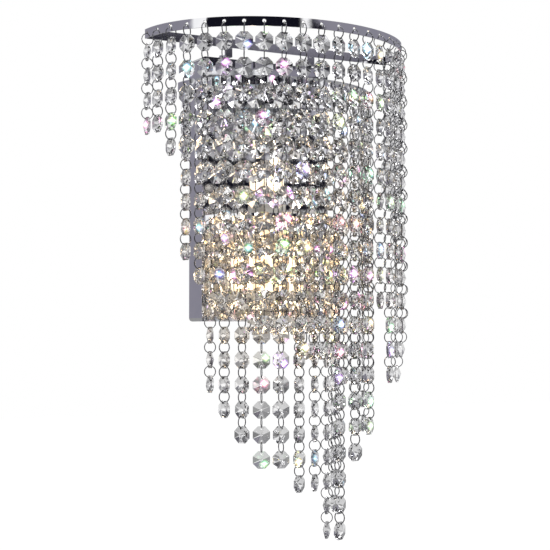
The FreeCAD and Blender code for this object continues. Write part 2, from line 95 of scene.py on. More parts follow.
class NodeSheet:
    """Adds nodes to one node tree and joins their sockets."""

    def __init__(self, tree: bpy.types.NodeTree) -> None:
        """Keeps the tree.

        Args:
            tree: the node tree that is filled.
        """
        self.tree = tree

    def add(self, kind: str, links: dict[str | int, Any] | None = None,
            **settings: Any) -> bpy.types.Node:
        """Adds a node, sets its properties and feeds its inputs.

        Args:
            kind: the node's type name.
            links: input name or number to a socket or a plain value.
            settings: properties of the node itself.

        Returns:
            The new node.
        """
        node = self.tree.nodes.new(kind)
        for name, value in settings.items():
            setattr(node, name, value)
        for name, value in (links or {}).items():
            self.feed(node.inputs[name], value)
        return node

    def feed(self, socket: bpy.types.NodeSocket, value: Any) -> None:
        """Links a socket to another one, or gives it a plain value."""
        if isinstance(value, bpy.types.NodeSocket):
            self.tree.links.new(value, socket)
        else:
            socket.default_value = value

    def math(self, operation: str, first: Any, second: Any = 0.0) -> bpy.types.NodeSocket:
        """One sum of two numbers."""
        return self.add("ShaderNodeMath", {0: first, 1: second}, operation=operation).outputs[0]

    def vector(self, operation: str, first: Any, second: Any,
               output: str = "Vector") -> bpy.types.NodeSocket:
        """One sum of two vectors."""
        node = self.add("ShaderNodeVectorMath", {0: first, 1: second}, operation=operation)
        return node.outputs[output]

    def scaled(self, colour: Any, strength: Any) -> bpy.types.NodeSocket:
        """A colour times a number."""
        node = self.add("ShaderNodeVectorMath", {0: colour, "Scale": strength}, operation="SCALE")
        return node.outputs["Vector"]

    def fade(self, distance: Any, reach: Any) -> bpy.types.NodeSocket:
        """A bell curve: 1 at no distance, about a third at the reach, and soon nothing.

        Args:
            distance: how far away the point is.
            reach: the distance that the curve is measured in.

        Returns:
            The socket that holds the result.
        """
        share = self.math("DIVIDE", distance, reach)
        fall = self.math("MULTIPLY", self.math("MULTIPLY", share, share), -1.0)
        return self.math("POWER", math.e, fall)

    def place(self) -> bpy.types.NodeSocket:
        """The point on the piece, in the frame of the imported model."""
        return self.add("ShaderNodeTexCoord").outputs["Object"]

    def attribute(self, name: str, output: str) -> bpy.types.NodeSocket:
        """What the mesh has stored under a name."""
        node = self.add("ShaderNodeAttribute", attribute_name=name, attribute_type="GEOMETRY")
        return node.outputs[output]

    def ramp(self, factor: Any, stops: Stops | list[tuple[float, Colour]]) -> bpy.types.NodeSocket:
        """A colour ramp.

        Args:
            factor: what drives it, from 0 to 1.
            stops: place and colour of each stop, in rising order.

        Returns:
            The colour socket.
        """
        node = self.add("ShaderNodeValToRGB", {"Fac": factor})
        elements = node.color_ramp.elements
        while len(elements) < len(stops):
            elements.new(1.0)
        for element, (place, colour) in zip(elements, stops):
            element.position = place
            element.color = (*colour, 1.0)
        return node.outputs["Color"]

    def mix(self, factor: Any, first: Any, second: Any) -> bpy.types.NodeSocket:
        """A mix of two colours.

        Returns:
            The colour socket.
        """
        node = self.add("ShaderNodeMix", data_type="RGBA")
        # The node's colour sockets come after its number and vector ones.
        self.feed(node.inputs["Factor"], factor)
        self.feed(node.inputs[6], first)
        self.feed(node.inputs[7], second)
        return node.outputs[2]


def new_group(name: str, kind: str, inputs: list[tuple[str, str, Any]],
              outputs: list[tuple[str, str]]) -> tuple:
    """Starts a node group with named sockets.

    Args:
        name: the group's name.
        kind: ShaderNodeTree or GeometryNodeTree.
        inputs: name, socket type and default value of each input.
        outputs: name and socket type of each output.

    Returns:
        The tree, its sheet, the input node and the output node.
    """
    tree = bpy.data.node_groups.new(name, kind)
    for label, socket_type, value in inputs:
        socket = tree.interface.new_socket(label, in_out="INPUT", socket_type=socket_type)
        if value is not None:
            socket.default_value = value
    for label, socket_type in outputs:
        tree.interface.new_socket(label, in_out="OUTPUT", socket_type=socket_type)
    sheet = NodeSheet(tree)
    return tree, sheet, sheet.add("NodeGroupInput"), sheet.add("NodeGroupOutput")


# ---------------------------------------------------------------- shared shader effects

class Effects:
    """Shader groups that more than one finish uses."""

    def __init__(self, lamps: list[Vector]) -> None:
        """Builds the groups.

        Args:
            lamps: the middles of the lamps' glass.
        """
        self.handling = self._handling()
        self.painted_lamp_glow = self._painted_lamp_glow(lamps)

    def _handling(self) -> bpy.types.NodeTree:
        """Fine polishing marks and finger haze on metal: a roughness, a height and a haze mask."""
        tree, sheet, given, result = new_group(
            "Handling", "ShaderNodeTree",
            [("Roughness", "NodeSocketFloat", 0.03), ("Haze", "NodeSocketFloat", 0.05),
             ("Mark Scale", "NodeSocketFloat", 900.0)],
            [("Roughness", "NodeSocketFloat"), ("Height", "NodeSocketFloat"), ("Haze", "NodeSocketFloat")])
        place = sheet.place()
        stretched = sheet.add("ShaderNodeMapping", {"Vector": place, "Scale": (1.0, 1.0, 14.0)})
        marks = sheet.add("ShaderNodeTexNoise", {"Vector": stretched.outputs["Vector"],
                                                 "Scale": given.outputs["Mark Scale"], "Detail": 3.0})
        smears = sheet.add("ShaderNodeTexNoise", {"Vector": place, "Scale": 55.0, "Detail": 4.0})
        haze = sheet.ramp(smears.outputs["Fac"], [(0.48, HIDDEN), (0.72, SHOWN)])
        spread = sheet.math("MULTIPLY", haze, given.outputs["Haze"])
        fine = sheet.math("MULTIPLY", marks.outputs["Fac"], given.outputs["Roughness"])
        sheet.feed(result.inputs["Roughness"], sheet.math("ADD", fine, spread))
        sheet.feed(result.inputs["Height"], marks.outputs["Fac"])
        sheet.feed(result.inputs["Haze"], haze)
        return tree

    def _painted_lamp_glow(self, lamps: list[Vector]) -> bpy.types.NodeTree:
        """How near a point is to the lamps, the mask of the painted lamp light: 1 beside a lamp, falling to
        0 away from them.
        """
        inputs = [("Lamp %d" % (number + 1), "NodeSocketVector", tuple(place))
                  for number, place in enumerate(lamps)]
        inputs.append(("Reach", "NodeSocketFloat", 0.06))
        tree, sheet, given, result = new_group("LampGlow", "ShaderNodeTree", inputs,
                                               [("Glow", "NodeSocketFloat")])
        place = sheet.place()
        total: Any = 0.0
        for number in range(len(lamps)):
            away = sheet.vector("DISTANCE", place, given.outputs[number], "Value")
            total = sheet.math("ADD", total, sheet.fade(away, given.outputs["Reach"]))
        sheet.feed(result.inputs["Glow"], sheet.math("MINIMUM", total, 1.0))
        return tree


# ---------------------------------------------------------------- finishes

def new_material(name: str, values: dict[str, Any]) -> tuple[bpy.types.Material, NodeSheet, bpy.types.Node]:
    """A material with one Principled shader.

    Args:
        name: the material's name.
        values: plain values of the shader's inputs.

    Returns:
        The material, its sheet and the shader.
    """
    material = bpy.data.materials.new(name)
    material.use_nodes = True
    sheet = NodeSheet(material.node_tree)
    shader = next(node for node in material.node_tree.nodes if node.type == "BSDF_PRINCIPLED")
    for label, value in values.items():
        shader.inputs[label].default_value = value
    return material, sheet, shader


@dataclass(frozen=True)
class MetalFinish:
    """A polished, plated or brushed metal."""

    name: str
    colour: Colour
    haze_colour: Colour
    roughness: float
    haze: float
    mark_scale: float = 900.0
    bump: float = 0.02

    def build(self, effects: Effects) -> bpy.types.Material:
        """Makes the material.

        Args:
            effects: the shared shader groups.

        Returns:
            The material.
        """
        material, sheet, shader = new_material(self.name, {"Metallic": 1.0})
        marks = sheet.add("ShaderNodeGroup", node_tree=effects.handling)
        for label, value in (("Roughness", self.roughness), ("Haze", self.haze),
                             ("Mark Scale", self.mark_scale)):
            sheet.feed(marks.inputs[label], value)
        bump = sheet.add("ShaderNodeBump", {"Height": marks.outputs["Height"], "Strength": self.bump,
                                            "Distance": MARK_DEPTH})
        sheet.feed(shader.inputs["Base Color"],
                   sheet.mix(marks.outputs["Haze"], (*self.colour, 1.0), (*self.haze_colour, 1.0)))
        sheet.feed(shader.inputs["Roughness"], marks.outputs["Roughness"])
        sheet.feed(shader.inputs["Normal"], bump.outputs["Normal"])
        return material


@dataclass(frozen=True)
class CutGlassFinish:
    """Lead crystal: clear glass with a painted shade of random grey on its facets, painted warm lamp light
    near the lamps and painted coloured fire glints.
    """

    name: str = "cut_crystal"
    ior: float = 1.54
    # Painted fire glints: emitted stars and halos fixed on a few crystals.
    flash_core: float = 3.0 * MM
    flash_halo: float = 2.1 * MM
    flash_strength: float = 4.0
    # Painted warm lamp light on the crystals: its strength, reach and contrast, then its colour.
    star_power: float = 0.6
    glow_strength: float = 0.12
    glow_reach: float = 55.0 * MM
    glow_contrast: float = 4.0
    painted_champagne: Colour = (1.0, 0.87, 0.68)
    # Painted facet shade: greys for the glass colour of each facet, the dark ones standing in for mirrored
    # dark surroundings.
    painted_facet_shades: Stops = ((0.0, (0.3, 0.3, 0.31)), (0.1, (0.6, 0.6, 0.61)), (0.2, (0.95, 0.95, 0.96)),
                    (1.0, (1.0, 1.0, 1.0)))
    hue_scale: float = 260.0
    hue_drift: float = 0.5
    saturation: float = 0.85

    def build(self, effects: Effects) -> bpy.types.Material:
        """Makes the material.

        Args:
            effects: the shared shader groups.

        Returns:
            The material.
        """
        material, sheet, shader = new_material(self.name, {
            "Emission Strength": 1.0, "Transmission Weight": 1.0, "Roughness": 0.0, "IOR": self.ior})
        # The painted facet shade darkens the glass colour of some facets.
        tone = sheet.attribute("tone", "Fac")
        # The mask of the painted lamp light: how near each point is to the lamps.
        near = sheet.add("ShaderNodeGroup", node_tree=effects.painted_lamp_glow)
        sheet.feed(near.inputs["Reach"], self.glow_reach)
        painted_glow_mask = near.outputs["Glow"]
        grey = sheet.ramp(tone, self.painted_facet_shades)
        # Painted lamp light: the glass colour is tinted warm near the lamps.
        warm = sheet.mix(painted_glow_mask, (1.0, 1.0, 1.0, 1.0), (*self.painted_champagne, 1.0))
        place = sheet.place()
        # The emission is painted light: fire glints and warm lamp light fixed on the facets.
        lit = sheet.vector("ADD", self._painted_fire(sheet, place), self._painted_lamp_light(sheet, painted_glow_mask, tone))
        sheet.feed(shader.inputs["Base Color"], sheet.vector("MULTIPLY", grey, warm))
        sheet.feed(shader.inputs["Emission Color"], lit)
        return material

    def _painted_fire(self, sheet: NodeSheet, place: Any) -> bpy.types.NodeSocket:
        """A painted glint: an emitted white star in a coloured halo, fixed on the few crystals that glint.

        Args:
            sheet: the material's sheet.
            place: the object coordinates.

        Returns:
            The painted glint's colour.
        """
        parts = sheet.add("ShaderNodeSeparateXYZ", {"Vector": sheet.attribute("flash", "Vector")})
        away = sheet.vector("SUBTRACT", place, sheet.attribute("spot", "Vector"))
        far = sheet.vector("LENGTH", away, (0, 0, 0), "Value")
        noise = sheet.add("ShaderNodeTexNoise", {"Vector": place, "Scale": self.hue_scale, "Detail": 1.0})
        drift = sheet.math("MULTIPLY", noise.outputs["Fac"], self.hue_drift)
        hue = sheet.math("FRACT", sheet.math("ADD", parts.outputs["X"], drift))
        spectrum = sheet.add("ShaderNodeCombineColor", {"Red": hue, "Green": self.saturation, "Blue": 1.0},
                             mode="HSV")
        power = sheet.math("MULTIPLY", parts.outputs["Y"], self.flash_strength)
        star = sheet.math("MULTIPLY", sheet.fade(self._painted_star(sheet, away), self.flash_core), power)
        halo = sheet.math("MULTIPLY", sheet.fade(far, self.flash_halo), power)
        return sheet.vector("ADD", sheet.scaled(SHOWN, star),
                            sheet.scaled(spectrum.outputs["Color"], halo))

    def _painted_star(self, sheet: NodeSheet, away: Any) -> bpy.types.NodeSocket:
        """A distance whose level lines are four-pointed stars, upright and level, for the shape of the
        painted glint.

        Args:
            sheet: the material's sheet.
            away: the way from the flash to the point.

        Returns:
            The distance socket.
        """
        x, y, z = sheet.add("ShaderNodeSeparateXYZ", {"Vector": away}).outputs
        squares = sheet.math("ADD", sheet.math("MULTIPLY", x, x), sheet.math("MULTIPLY", y, y))
        level = sheet.math("SQRT", squares)
        total = sheet.math("ADD", sheet.math("POWER", level, self.star_power),
                           sheet.math("POWER", sheet.math("ABSOLUTE", z), self.star_power))
        return sheet.math("POWER", total, 1.0 / self.star_power)

    def _painted_lamp_light(self, sheet: NodeSheet, painted_glow_mask: Any, tone: Any) -> bpy.types.NodeSocket:
        """Painted warm lamp light: emission on the bright facets round the lamps.

        Args:
            sheet: the material's sheet.
            painted_glow_mask: how near the lamps are, the mask of the painted lamp light.
            tone: the facet's painted shade.

        Returns:
            The painted light's colour.
        """
        bright = sheet.math("MULTIPLY", sheet.math("POWER", tone, self.glow_contrast), painted_glow_mask)
        return sheet.scaled(self.painted_champagne, sheet.math("MULTIPLY", bright, self.glow_strength))


@dataclass(frozen=True)
class PlainFinish:
    """A ceramic or moulded finish with a fine mottle."""

    name: str
    colour: Colour
    shade: Colour
    roughness: float
    grain_scale: float = 700.0
    bump: float = 0.15
    unevenness: float = 0.15

    def build(self) -> bpy.types.Material:
        """Makes the material."""
        material, sheet, shader = new_material(self.name, {})
        place = sheet.place()
        grain = sheet.add("ShaderNodeTexNoise", {"Vector": place, "Scale": self.grain_scale, "Detail": 4.0})
        tint = sheet.mix(grain.outputs["Fac"], (*self.colour, 1.0), (*self.shade, 1.0))
        bump = sheet.add("ShaderNodeBump", {"Height": grain.outputs["Fac"], "Strength": self.bump,
                                            "Distance": MARK_DEPTH})
        sheet.feed(shader.inputs["Base Color"], tint)
        uneven = sheet.math("MULTIPLY", grain.outputs["Fac"], self.unevenness)
        sheet.feed(shader.inputs["Roughness"], sheet.math("ADD", uneven, self.roughness))
        sheet.feed(shader.inputs["Normal"], bump.outputs["Normal"])
        return material


@dataclass(frozen=True)
class LampGlassFinish:
    """The thin clear glass of a capsule lamp."""

    name: str = "capsule_glass"
    tint: Colour = (1.0, 0.97, 0.92)
    lit: Colour = (1.0, 0.8, 0.55)
    strength: float = 0.45
    roughness: float = 0.02
    ior: float = 1.45

    def build(self) -> bpy.types.Material:
        """Makes the material."""
        return new_material(self.name, {
            "Base Color": (*self.tint, 1.0), "Transmission Weight": 1.0, "Roughness": self.roughness,
            "IOR": self.ior, "Emission Color": (*self.lit, 1.0), "Emission Strength": self.strength})[0]


@dataclass(frozen=True)
class FilamentFinish:
    """A glowing tungsten coil."""

    name: str = "lit_filament"
    wire: Colour = (0.3, 0.3, 0.3)
    lit: Colour = (1.0, 0.86, 0.66)
    strength: float = 30.0

    def build(self) -> bpy.types.Material:
        """Makes the material."""
        return new_material(self.name, {"Base Color": (*self.wire, 1.0), "Emission Color": (*self.lit, 1.0),
                                        "Emission Strength": self.strength})[0]


class Finish(Enum):
    """The metals and plain finishes of the sconce."""

    POLISHED = MetalFinish("polished_steel", (0.9, 0.9, 0.92), (0.84, 0.85, 0.88), 0.05, 0.02)
    WIRE = MetalFinish("link_wire", (0.17, 0.17, 0.18), (0.12, 0.12, 0.13), 0.16, 0.06)
    PLATED = MetalFinish("zinc_plate", (0.62, 0.63, 0.66), (0.72, 0.72, 0.66), 0.5, 0.12, 300.0, 0.2)
    SCREW = MetalFinish("nickel_screws", (0.6, 0.6, 0.62), (0.5, 0.5, 0.5), 0.2, 0.08)
    CERAMIC = PlainFinish("holder_ceramic", (0.9, 0.88, 0.83), (0.82, 0.8, 0.75), 0.45)
    MOULDED = PlainFinish("terminal_plastic", (0.86, 0.86, 0.83), (0.8, 0.8, 0.77), 0.35, 1500.0, 0.05)


# ---------------------------------------------------------------- meshes

def new_object(name: str, data: Any) -> bpy.types.Object:
    """Makes an object of a mesh, curve, light or camera and links it to the scene."""
    made = bpy.data.objects.new(name, data)
    bpy.context.scene.collection.objects.link(made)
    return made


def mesh_object(name: str, bm: bmesh.types.BMesh, materials: list[bpy.types.Material]) -> bpy.types.Object:
    """Turns a bmesh into an object at the origin.

    Args:
        name: the piece's name.
        bm: the mesh, which is freed.
        materials: the piece's materials, in slot order.

    Returns:
        The new object, linked to the scene.
    """
    mesh = bpy.data.meshes.new(name)
    bm.to_mesh(mesh)
    bm.free()
    for material in materials:
        mesh.materials.append(material)
    return new_object(name, mesh)


def evaluated_mesh(piece: bpy.types.Object) -> bpy.types.Mesh:
    """The piece's mesh with its modifiers applied."""
    graph = bpy.context.evaluated_depsgraph_get()
    return bpy.data.meshes.new_from_object(piece.evaluated_get(graph), depsgraph=graph,
                                           preserve_all_data_layers=True)


@dataclass
class OctagonCrystal:
    """One cut octagon: eight facets meet in the middle of each side, with a hole near two edges."""

    width: float = 14 * MM
    depth: float = 7 * MM
    girdle: float = 1.6 * MM
    hole_radius: float = 1.0 * MM
    hole_edge: float = 1.925 * MM
    sides: int = 8
    hole_sides: int = 6

    def build(self) -> bpy.types.Object:
        """Makes the crystal upright in its own frame, with its thickness along Y.

        Returns:
            The master object, which the strands copy.
        """
        bm = bmesh.new()
        corner_radius = self.width / 2 / math.cos(math.pi / self.sides)
        rims = []
        for side in (-1, 1):
            angles = [(2 * corner + 1) * math.pi / self.sides for corner in range(self.sides)]
            rims.append([bm.verts.new((corner_radius * math.cos(angle), side * self.girdle / 2,
                                       corner_radius * math.sin(angle))) for angle in angles])
        for side, rim in zip((-1, 1), rims):
            apex = bm.verts.new((0, side * self.depth / 2, 0))
            for corner in range(self.sides):
                bm.faces.new((rim[corner], rim[(corner + 1) % self.sides], apex))
        for corner in range(self.sides):
            following = (corner + 1) % self.sides
            bm.faces.new((rims[0][corner], rims[0][following], rims[1][following], rims[1][corner]))
        bmesh.ops.recalc_face_normals(bm, faces=bm.faces)
        crystal = mesh_object("crystal_master", bm, [])
        drill = self._drill()
        cutter = crystal.modifiers.new("holes", "BOOLEAN")
        cutter.operation = "DIFFERENCE"
        cutter.solver = "EXACT"
        cutter.object = drill
        drilled = evaluated_mesh(crystal)
        crystal.modifiers.clear()
        crystal.data = drilled
        bpy.data.objects.remove(drill)
        return crystal

    def _drill(self) -> bpy.types.Object:
        """The two holes as one cutting tool."""
        bm = bmesh.new()
        for side in (-1, 1):
            height = side * (self.width / 2 - self.hole_edge)
            place = Matrix.Translation((0, 0, height)) @ Matrix.Rotation(math.pi / 2, 4, "X")
            bmesh.ops.create_cone(bm, cap_ends=True, segments=self.hole_sides, radius1=self.hole_radius,
                                  radius2=self.hole_radius, depth=2 * self.depth, matrix=place)
        return mesh_object("crystal_drill", bm, [])


@dataclass
class WireLink:
    """A round wire link that stands in the plane of its own Y and Z axes."""

    radius: float = 4.775 * MM
    wire: float = 0.45 * MM
    steps: int = 16
    sides: int = 4

    def build(self) -> bpy.types.Object:
        """Makes the master link, smooth shaded."""
        bm = bmesh.new()
        rings = []
        for step in range(self.steps):
            turn = 2 * math.pi * step / self.steps
            ring = []
            for side in range(self.sides):
                around = 2 * math.pi * (side + 0.5) / self.sides
                reach = self.radius + self.wire * math.cos(around)
                ring.append(bm.verts.new((self.wire * math.sin(around), reach * math.cos(turn),
                                          reach * math.sin(turn))))
            rings.append(ring)
        for step in range(self.steps):
            ring, following = rings[step], rings[(step + 1) % self.steps]
            for side in range(self.sides):
                other = (side + 1) % self.sides
                face = bm.faces.new((ring[side], ring[other], following[other], following[side]))
                face.smooth = True
        bmesh.ops.recalc_face_normals(bm, faces=bm.faces)
        return mesh_object("link_master", bm, [])


# ---------------------------------------------------------------- strands

@dataclass
class StrandSet:
    """All hanging strands: each is one piece that swings on its own body."""

    crystal: OctagonCrystal
    link: WireLink
    glass: bpy.types.Material
    wire: bpy.types.Material
    pitch: float = 20.1 * MM
    hole_seat: float = 0.2 * MM
    link_lift: float = 0.2 * MM
    twist: float = math.radians(5.0)
    tilt: float = math.radians(1.0)
    # The painted glints: share of crystals that glow, their least power, and the box round the crystal's
    # middle that the glint's place is drawn in.
    flash_share: float = 0.17
    flash_least: float = 0.35
    flash_near: Point = (-2.5 * MM, -2.8 * MM, -3.0 * MM)
    flash_far: Point = (2.5 * MM, -2.2 * MM, 3.0 * MM)
    fans: tuple[tuple[str, float], ...] = (("outer", math.radians(11.0)), ("upper", math.radians(14.0)),
                                           ("middle", math.radians(28.0)))
    fan_middle: float = math.radians(-29.0)
    fan_spread: float = math.radians(22.0)
    stray: float = math.radians(7.0)
    stray_step: float = 2.4

    def link_drop(self) -> float:
        """How far below the strand's pivot a link's middle lies."""
        return self.link.radius - self.link_lift

    def crystal_drop(self) -> float:
        """How far below the strand's pivot the first crystal's middle lies."""
        return 2 * self.link.radius + self.hole_seat + self.crystal.width / 2 - self.crystal.hole_edge

    def tree(self) -> bpy.types.NodeTree:
        """The rule of a strand: a row of links and a row of crystals, each turned a little."""
        tree, sheet, given, result = new_group(
            "Strand", "GeometryNodeTree",
            [("Geometry", "NodeSocketGeometry", None), ("Crystals", "NodeSocketInt", 5),
             ("Pitch", "NodeSocketFloat", self.pitch), ("Link Drop", "NodeSocketFloat", self.link_drop()),
             ("Crystal Drop", "NodeSocketFloat", self.crystal_drop()),
             ("Twist", "NodeSocketFloat", self.twist), ("Tilt", "NodeSocketFloat", self.tilt),
             ("Flash Share", "NodeSocketFloat", self.flash_share), ("Seed", "NodeSocketInt", 0),
             ("Heading", "NodeSocketFloat", 0.0), ("Pivot", "NodeSocketVector", (0, 0, 0)),
             ("Crystal", "NodeSocketObject", None), ("Link", "NodeSocketObject", None),
             ("Glass", "NodeSocketMaterial", None), ("Wire", "NodeSocketMaterial", None)],
            [("Geometry", "NodeSocketGeometry")])
        out = given.outputs
        seed = out["Seed"]
        step = sheet.add("ShaderNodeCombineXYZ", {"Z": sheet.math("MULTIPLY", out["Pitch"], -1.0)})
        turn_all = sheet.add("ShaderNodeCombineXYZ", {"Z": out["Heading"]})
        heading = sheet.add("FunctionNodeEulerToRotation", {"Euler": turn_all.outputs[0]})
        rows = []
        for source, drop, material in (("Link", "Link Drop", "Wire"), ("Crystal", "Crystal Drop", "Glass")):
            start = sheet.add("ShaderNodeCombineXYZ", {"Z": sheet.math("MULTIPLY", out[drop], -1.0)})
            line = sheet.add("GeometryNodeMeshLine", {"Count": out["Crystals"],
                                                      "Start Location": start.outputs[0],
                                                      "Offset": step.outputs[0]})
            master = sheet.add("GeometryNodeObjectInfo", {"Object": out[source], "As Instance": True})
            turned = sheet.add("GeometryNodeInstanceOnPoints", {"Points": line.outputs["Mesh"],
                                                                "Instance": master.outputs["Geometry"]})
            if source == "Crystal":
                widest = sheet.add("ShaderNodeCombineXYZ", {"X": out["Tilt"], "Z": out["Twist"]})
                least = sheet.vector("MULTIPLY", widest.outputs[0], (-1.0, -1.0, -1.0))
                turn = sheet.add("FunctionNodeRandomValue", {"Min": least, "Max": widest.outputs[0],
                                                             "Seed": seed}, data_type="FLOAT_VECTOR")
                spin = sheet.add("FunctionNodeEulerToRotation", {"Euler": turn.outputs["Value"]})
                sheet.feed(turned.inputs["Rotation"], spin.outputs["Rotation"])
            placed = sheet.add("GeometryNodeTransform", {"Geometry": turned.outputs["Instances"],
                                                         "Translation": out["Pivot"],
                                                         "Rotation": heading.outputs["Rotation"]})
            standing = placed.outputs["Geometry"]
            if source == "Crystal":
                standing = self._mark_painted_flashes(sheet, standing, out)
            solid = sheet.add("GeometryNodeRealizeInstances", {"Geometry": standing})
            dressed = sheet.add("GeometryNodeSetMaterial", {"Geometry": solid.outputs["Geometry"],
                                                            "Material": out[material]})
            rows.append(dressed.outputs["Geometry"])
        joined = sheet.add("GeometryNodeJoinGeometry")
        for row in rows:
            sheet.feed(joined.inputs["Geometry"], row)
        sheet.feed(result.inputs["Geometry"], self._mark_painted_facet_shade(sheet, joined.outputs["Geometry"], out))
        return tree

    def _mark_painted_flashes(self, sheet: NodeSheet, crystals: Any, out: Any) -> bpy.types.NodeSocket:
        """Stores on each crystal the hue and power of its painted glint, and the point on its surface that
        the glint glows from.

        Args:
            sheet: the tree's sheet.
            crystals: the crystals, still separate.
            out: the group's inputs.

        Returns:
            The geometry socket.
        """
        # Each draw has a seed of its own, so that hue, chance, power and place are not alike.
        seeds = [sheet.math("ADD", out["Seed"], float(shift)) for shift in (101, 202, 404, 505)]
        hue, chance, power = (
            sheet.add("FunctionNodeRandomValue", {"Seed": seed}, data_type="FLOAT").outputs[1]
            for seed in seeds[:3])
        more = sheet.math("MULTIPLY", power, 1 - self.flash_least)
        fire = sheet.math("MULTIPLY", sheet.math("LESS_THAN", chance, out["Flash Share"]),
                          sheet.math("ADD", self.flash_least, more))
        flash = sheet.add("ShaderNodeCombineXYZ", {"X": hue, "Y": fire})
        stored = sheet.add("GeometryNodeStoreNamedAttribute", {"Geometry": crystals, "Name": "flash"},
                           data_type="FLOAT_VECTOR", domain="INSTANCE")
        sheet.feed(stored.inputs["Value"], flash.outputs[0])
        away = sheet.add("FunctionNodeRandomValue", {"Min": self.flash_near, "Max": self.flash_far,
                                                     "Seed": seeds[3]}, data_type="FLOAT_VECTOR")
        middle = sheet.add("GeometryNodeInputPosition").outputs["Position"]
        spot = sheet.add("GeometryNodeStoreNamedAttribute", {"Geometry": stored.outputs["Geometry"],
                                                             "Name": "spot"},
                         data_type="FLOAT_VECTOR", domain="INSTANCE")
        sheet.feed(spot.inputs["Value"], sheet.vector("ADD", middle, away.outputs["Value"]))
        return spot.outputs["Geometry"]

    def _mark_painted_facet_shade(self, sheet: NodeSheet, geometry: Any, out: Any) -> bpy.types.NodeSocket:
        """Stores a random painted shade on each facet, kept as its tone: it darkens the crystal's glass
        colour in place of the dark surroundings that real facets mirror.

        Args:
            sheet: the tree's sheet.
            geometry: the joined strand.
            out: the group's inputs.

        Returns:
            The geometry socket.
        """
        seed = sheet.math("ADD", out["Seed"], 303.0)
        tone = sheet.add("FunctionNodeRandomValue", {"Seed": seed}, data_type="FLOAT").outputs[1]
        stored = sheet.add("GeometryNodeStoreNamedAttribute", {"Geometry": geometry, "Name": "tone"},
                           data_type="FLOAT", domain="FACE")
        sheet.feed(stored.inputs["Value"], tone)
        return stored.outputs["Geometry"]

    def _heading(self, along: Vector, number: int, fan: float) -> float:
        """Which way a strand's crystals face.

        The strands have turned in their holes: away from the front left corner on both sides of
        it, and each a little more or less than its neighbour.

        Args:
            along: the band's own direction at the strand.
            number: the strand's number.
            fan: the most that the strands of this band have turned.

        Returns:
            The turn about the vertical that points a crystal's thickness outwards.
        """
        square = math.atan2(along.y, along.x)
        lean = math.remainder(square - math.pi - self.fan_middle, 2 * math.pi)
        stray = self.stray * math.sin(self.stray_step * number)
        return square + fan * math.tanh(lean / self.fan_spread) + stray

    def build(self, joints: list[dict[str, Any]], bodies: dict[str, list[str]]) -> None:
        """Makes one piece for each hanging strand.

        Args:
            joints: the frame's joints, one for each strand.
            bodies: the nodes of each body.
        """
        tree = self.tree()
        slots = {item.name: item.identifier for item in tree.interface.items_tree
                 if item.item_type == "SOCKET" and item.in_out == "INPUT"}
        crystal = self.crystal.build()
        link = self.link.build()
        for number, joint in enumerate(joints):
            node = bodies[joint["child"]][0]
            pivot = Vector(joint["pos_m"])
            low, _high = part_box(node)
            count = round((pivot.z - low.z - self.hole_seat) / self.pitch)
            fan = dict(self.fans)[node.split("_")[0]]
            heading = self._heading(Vector(joint["axis"]), number, fan)
            values = {"Crystals": count, "Seed": number, "Heading": heading, "Pivot": tuple(pivot),
                      "Crystal": crystal, "Link": link, "Glass": self.glass, "Wire": self.wire}
            piece = self._grow(node + "_dressed", tree, slots, values)
            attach(piece, joint["child"])
            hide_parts(node)
            LOG.info("%s: %d crystals", piece.name, count)
        bpy.data.objects.remove(crystal)
        bpy.data.objects.remove(link)

    def _grow(self, name: str, tree: bpy.types.NodeTree, slots: dict[str, str],
              values: dict[str, Any]) -> bpy.types.Object:
        """Runs the strand tree once and keeps its result as a plain mesh.

        Args:
            name: the piece's name.
            tree: the strand tree.
            slots: input name to socket identifier.
            values: input name to value.

        Returns:
            The piece.
        """
        piece = mesh_object(name, bmesh.new(), [])
        modifier = piece.modifiers.new("strand", "NODES")
        modifier.node_group = tree
        for label, value in values.items():
            modifier[slots[label]] = value
        mesh = evaluated_mesh(piece)
        piece.modifiers.remove(modifier)
        piece.data = mesh
        return piece


# ---------------------------------------------------------------- metalwork and lamps

@dataclass
class Metalwork:
    """The box, the bands, their bars, brackets and screws, kept as the frame has them."""

    effects: Effects
    polished: tuple[str, ...] = ("back_box", "bottom_trim", "outer_band", "upper_band", "middle_band",
                                 "back_bars", "band_brackets", "lamp_shelves")

    def dress(self, nodes: dict[str, bpy.types.Object]) -> None:
        """Gives each node of the frame its finish.

        Args:
            nodes: the frame's nodes by name.
        """
        finishes = {name: Finish.POLISHED for name in self.polished}
        finishes.update({"wall_bracket": Finish.PLATED, "screws": Finish.SCREW,
                         "lamp_holders": Finish.CERAMIC, "terminal_block": Finish.MOULDED})
        made: dict[Finish, bpy.types.Material] = {}
        for name, finish in finishes.items():
            if finish not in made:
                shared = isinstance(finish.value, MetalFinish)
                made[finish] = finish.value.build(self.effects) if shared else finish.value.build()
            node = nodes[name]
            node.data.materials.clear()
            node.data.materials.append(made[finish])
            LOG.info("%s: %s", name, finish.value.name)


